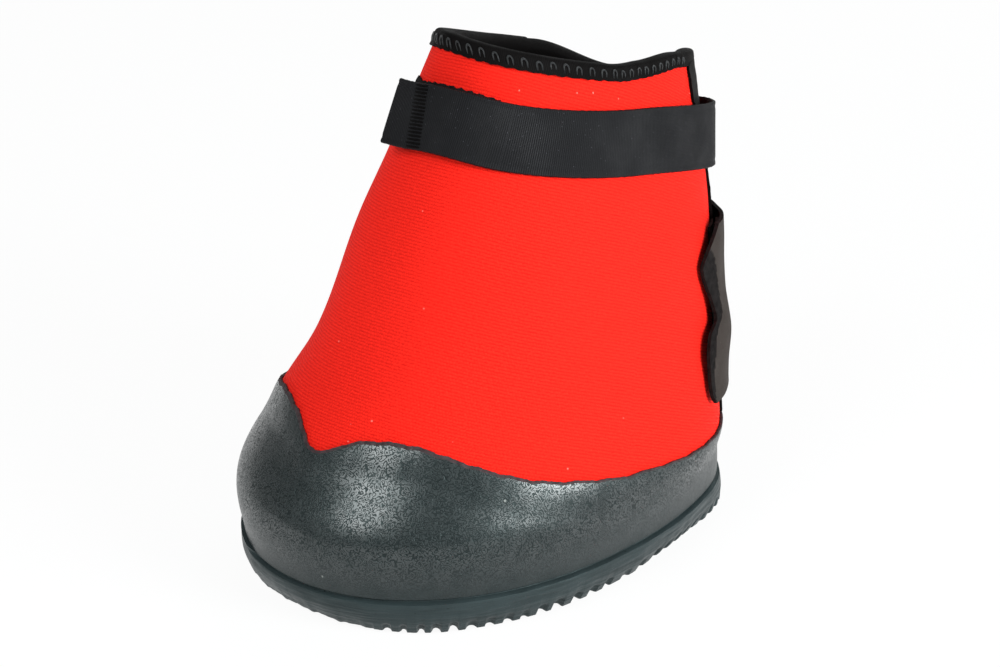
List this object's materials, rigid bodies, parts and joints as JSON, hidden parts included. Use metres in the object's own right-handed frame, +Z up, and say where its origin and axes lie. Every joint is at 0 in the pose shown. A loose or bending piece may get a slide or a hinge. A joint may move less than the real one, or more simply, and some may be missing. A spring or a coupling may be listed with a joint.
{
  "type": "horse hoof boot",
  "caption": "Neoprene hoof boot with a grained rubber shell, lugged sole, opening heel flap, elastic collar strap and hook-and-loop heel tab.",
  "frame": {"origin": "on the ground under the middle of the boot's plan", "axes": "+Z up, toe towards -Y, heel towards +Y, +X is the side with the upright slit near the heel"},
  "size_m": [0.1566, 0.2094, 0.2052],
  "materials": {
    "red_neoprene": "smooth knit face on 5 mm neoprene, matt",
    "black_binding": "ribbed edge binding, matt",
    "black_webbing": "crosswise-ribbed elastic webbing, satin",
    "hook_loop_tape": "fuzzy hook and loop tape, matt",
    "shell_rubber": "leather-grained rubber, soft sheen",
    "sole_rubber": "moulded rubber, satin",
    "insole_board": "fibre board, matt",
    "filler_felt": "felt, matt",
    "insole_foam": "closed-cell foam, matt"
  },
  "bodies": {
    "boot": {"outsole": "sole_rubber", "rubber_shell": "shell_rubber", "bottom_filler": "filler_felt", "insole_board": "insole_board", "foam_insole": "insole_foam", "upper_panel": "red_neoprene", "lower_heel_panel": "red_neoprene", "collar_binding": "black_binding", "slit_edge_binding": "black_binding", "strap_loop_pad": "hook_loop_tape", "tab_loop_pad": "hook_loop_tape"},
    "heel_flap": {"heel_flap_panel": "red_neoprene", "flap_collar_binding": "black_binding", "flap_edge_binding": "black_binding", "flap_hem_binding": "black_binding", "strap_anchor": "black_webbing", "tab_base": "black_webbing"},
    "strap": {"strap_run": "black_webbing"},
    "strap_tip": {"strap_end": "black_webbing", "strap_hook_tape": "hook_loop_tape"},
    "tab": {"closure_tab": "black_webbing", "tab_hook_tape": "hook_loop_tape"}
  },
  "joints": [
    {"name": "heel_flap_open", "type": "hinge", "parent": "boot", "child": "heel_flap", "pos_m": [-0.07805, 0.01506, 0.04662], "axis": [0.2514, 0.2568, 0.9332], "range_deg": [0, 45]},
    {"name": "strap_unwrap", "type": "hinge", "parent": "heel_flap", "child": "strap", "pos_m": [0.0463, 0.07307, 0.14248], "axis": [-0.2336, 0.0763, 0.9693], "range_deg": [0, 117]},
    {"name": "strap_end_lift", "type": "hinge", "parent": "strap", "child": "strap_tip", "pos_m": [0.01214, -0.03249, 0.16709], "axis": [-0.0442, 0.4681, 0.8826], "range_deg": [0, 90]},
    {"name": "heel_tab_peel", "type": "hinge", "parent": "heel_flap", "child": "tab", "pos_m": [0.03822, 0.0977, 0.05191], "axis": [-0.135, 0.0712, 0.9883], "range_deg": [0, 120]}
  ],
  "couplings": [
    {"joint": "strap_unwrap", "follows": "heel_flap_open", "ratio": 2.6},
    {"joint": "strap_end_lift", "follows": "heel_flap_open", "ratio": 2}
  ]
}
